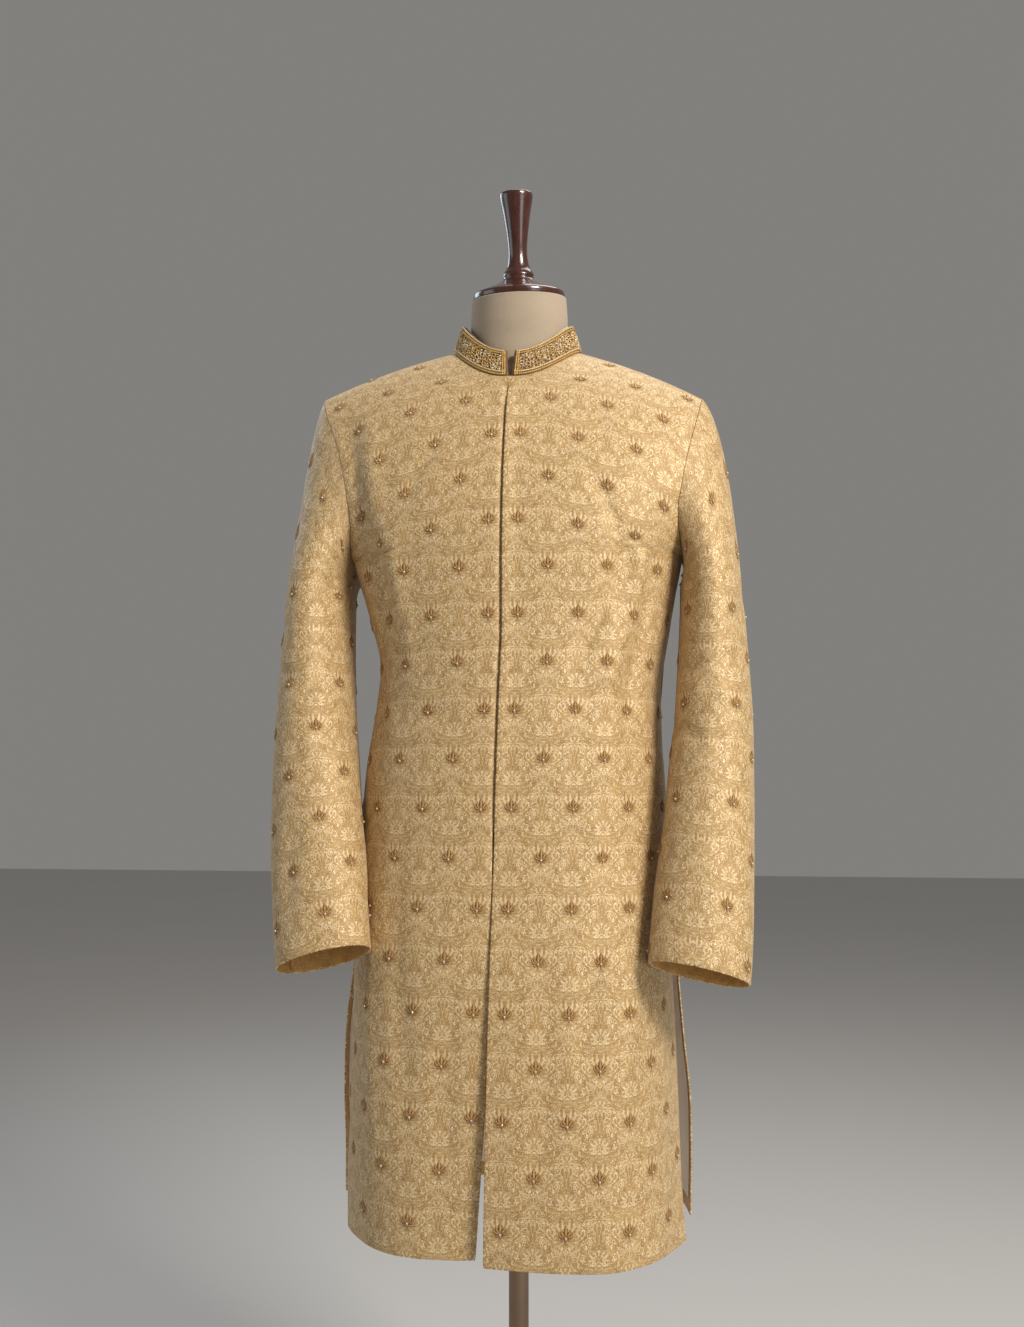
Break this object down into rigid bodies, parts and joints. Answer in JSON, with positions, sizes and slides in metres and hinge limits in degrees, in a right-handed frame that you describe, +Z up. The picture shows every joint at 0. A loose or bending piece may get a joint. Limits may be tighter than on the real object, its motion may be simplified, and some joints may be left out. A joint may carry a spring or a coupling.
{
  "type": "sherwani coat on a dress form",
  "caption": "Long brocade sherwani coat with an embroidered standing collar, long sleeves and side slits, on a limbless dress form with a turned neck cap, a pole and a round base.",
  "frame": {"origin": "on the floor, at the centre of the underside of the base, on the pole's axis", "axes": "+Z up, the coat's front faces -Y, +X is the wearer's left"},
  "size_m": [0.5523, 0.3522, 1.6624],
  "materials": {
    "brocade": "gold and ivory woven brocade",
    "embroidery": "metal thread and bead embroidery",
    "satin": "smooth pale grey satin",
    "form_cloth": "plain cream cloth",
    "cap_wood": "dark gloss",
    "pole_steel": "warm brushed",
    "base_metal": "plain satin"
  },
  "bodies": {
    "root": {"front_left": "brocade", "front_right": "brocade", "back_left": "brocade", "back_right": "brocade", "sleeve_top_left": "brocade", "sleeve_under_left": "brocade", "sleeve_top_right": "brocade", "sleeve_under_right": "brocade", "collar": "embroidery", "placket": "satin", "back_lining_left": "satin", "back_lining_right": "satin", "dress_form": "form_cloth", "neck_cap": "cap_wood", "pole": "pole_steel", "base": "base_metal"}
  },
  "joints": []
}
